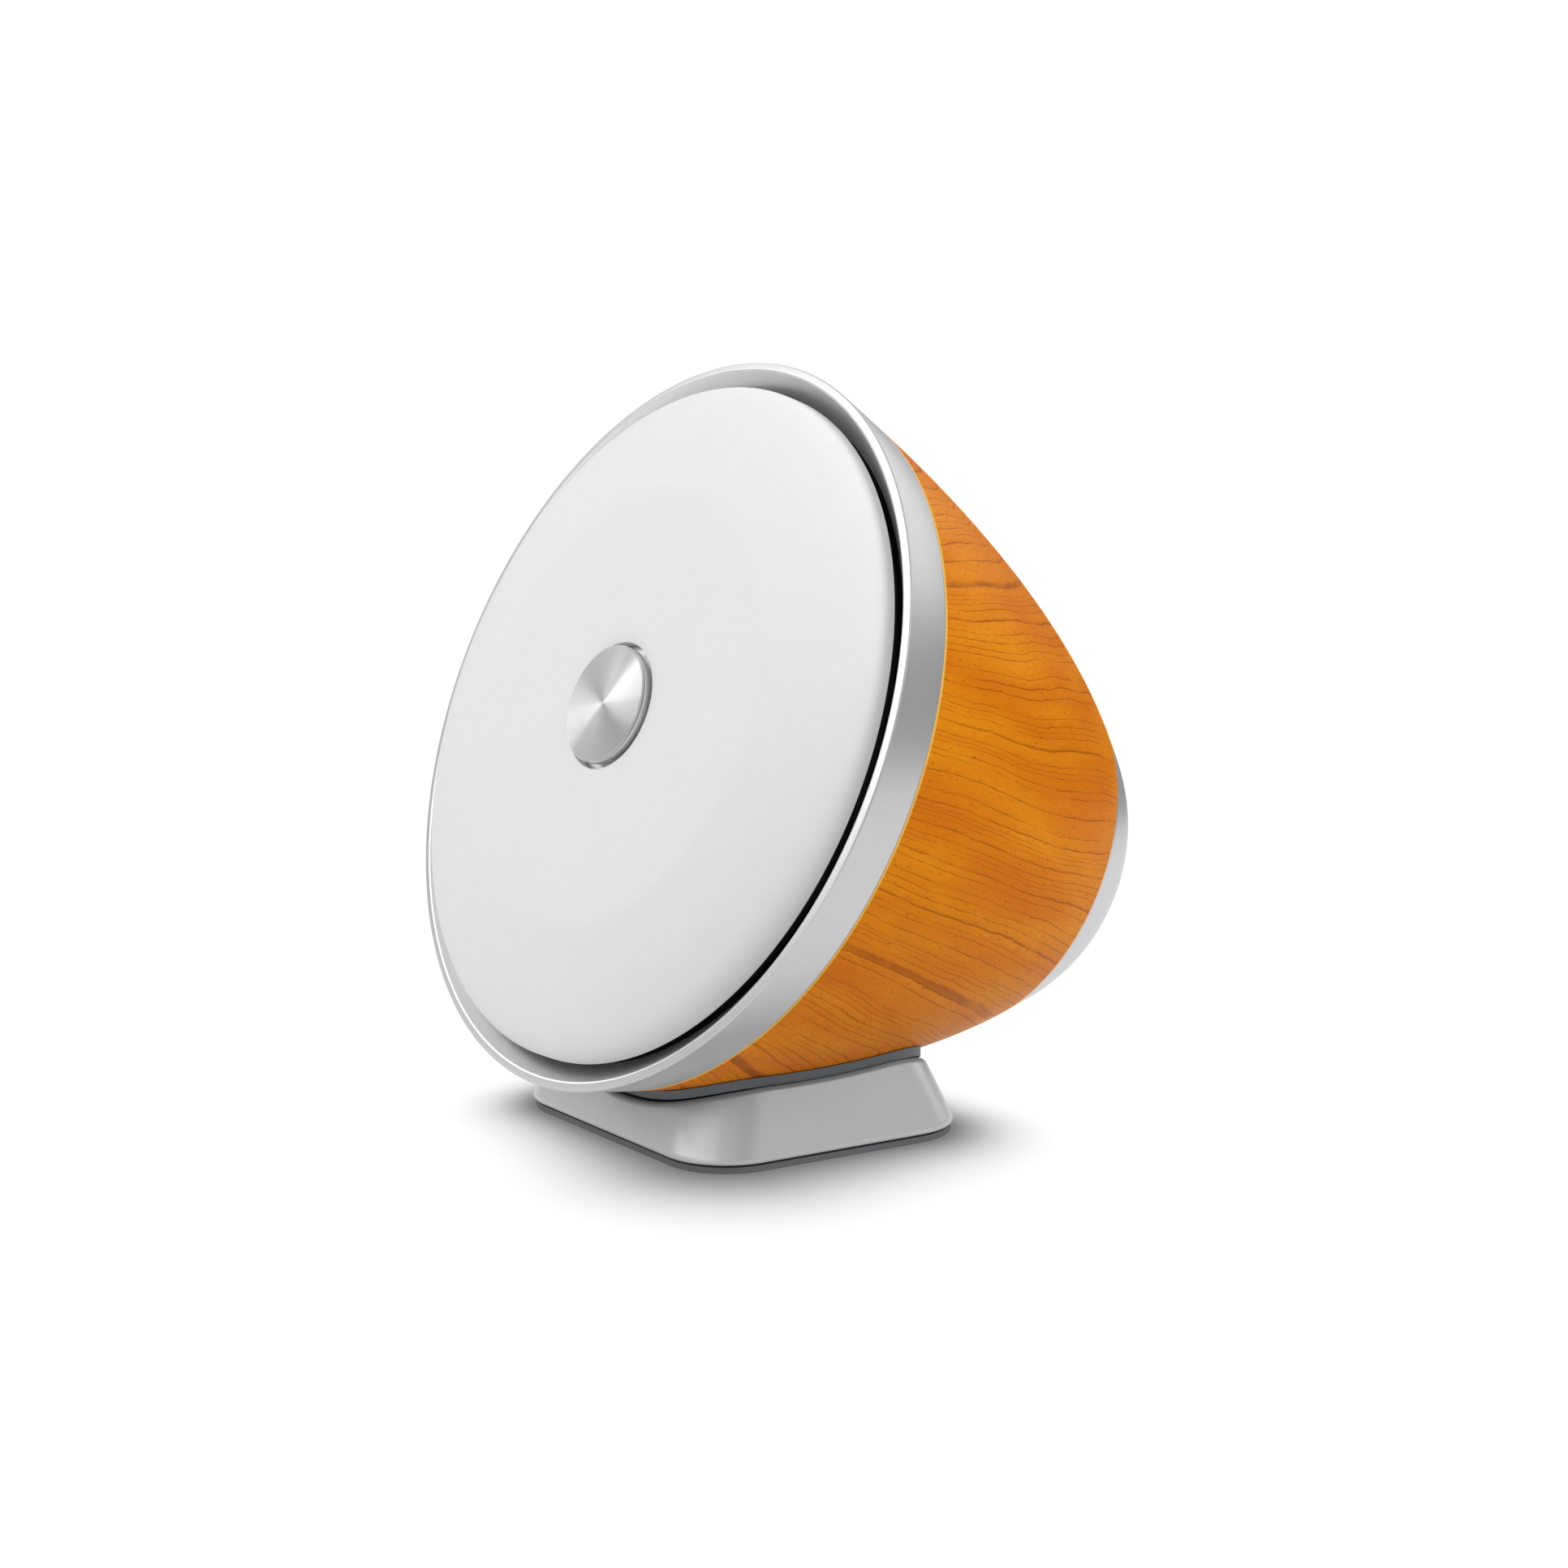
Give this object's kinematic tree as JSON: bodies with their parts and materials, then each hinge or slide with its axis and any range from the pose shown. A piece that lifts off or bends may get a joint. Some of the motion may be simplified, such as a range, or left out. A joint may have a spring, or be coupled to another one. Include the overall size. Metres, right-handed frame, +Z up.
{
  "type": "air quality monitor",
  "caption": "Desktop air quality monitor: a cone-shaped wooden body with a domed white face and a central push button, tilted back on a low silver stand.",
  "frame": {"origin": "centre of the foot pad's flat underside, on the surface the monitor stands on", "axes": "+Z up; the face looks towards -Y and is tilted back; +X to the right seen from the front"},
  "size_m": [0.1, 0.0901, 0.1007],
  "materials": {
    "silver_paint": "satin silver paint over metal and plastic",
    "spun_aluminium": "spun, with fine concentric turning marks",
    "wood_veneer": "satin lacquer over warm orange softwood grain",
    "white_face": "satin off-white with a very fine texture",
    "black_plastic": "matt moulded",
    "grey_plastic": "matt moulded, cool dark grey",
    "frosted_plastic": "frosted, lets light through",
    "circuit_board": "green solder mask",
    "steel": "plain plated steel",
    "rubber": "matt"
  },
  "bodies": {
    "housing": {"ballast_plate": "steel", "base_shell": "silver_paint", "bezel_ring": "silver_paint", "board_connector": "frosted_plastic", "board_screw_1": "steel", "board_screw_2": "steel", "board_screw_3": "steel", "chassis": "black_plastic", "face_carrier": "black_plastic", "face_panel": "white_face", "fan_motor": "black_plastic", "foot_pad": "rubber", "front_screw_1": "steel", "front_screw_2": "steel", "front_screw_3": "steel", "gas_sensor": "steel", "humidity_sensor": "black_plastic", "intake_liner": "black_plastic", "laser_block": "black_plastic", "led_1": "frosted_plastic", "led_2": "frosted_plastic", "led_3": "frosted_plastic", "led_4": "frosted_plastic", "led_5": "frosted_plastic", "led_6": "frosted_plastic", "led_board": "circuit_board", "led_board_screw_1": "steel", "led_board_screw_2": "steel", "light_diffuser": "frosted_plastic", "main_board": "circuit_board", "neck_saddle": "grey_plastic", "particle_sensor_case": "grey_plastic", "particle_sensor_lid": "grey_plastic", "power_board": "circuit_board", "power_socket": "steel", "rear_cap": "silver_paint", "rear_grille": "black_plastic", "rear_screw_1": "steel", "rear_screw_2": "steel", "ribbon_cable": "grey_plastic", "stand_screw_front": "steel", "stand_screw_rear": "steel", "switch_body": "steel", "wifi_module": "steel", "wood_shell": "wood_veneer"},
    "button": {"button_cap": "spun_aluminium", "button_collar": "silver_paint", "button_stem": "black_plastic", "switch_plunger": "black_plastic"},
    "fan": {"fan_rotor": "black_plastic"}
  },
  "joints": [
    {"name": "button_press", "type": "slide", "parent": "housing", "child": "button", "axis": [0, 0.9116, -0.411], "range_m": [0, 0.0006], "stiffness_N_per_m": 2000, "springref_m": -0.0002},
    {"name": "fan_spin", "type": "hinge", "parent": "housing", "child": "fan", "pos_m": [0, 0.02387, 0.03876], "axis": [0, 0.9116, -0.411], "continuous": true}
  ]
}
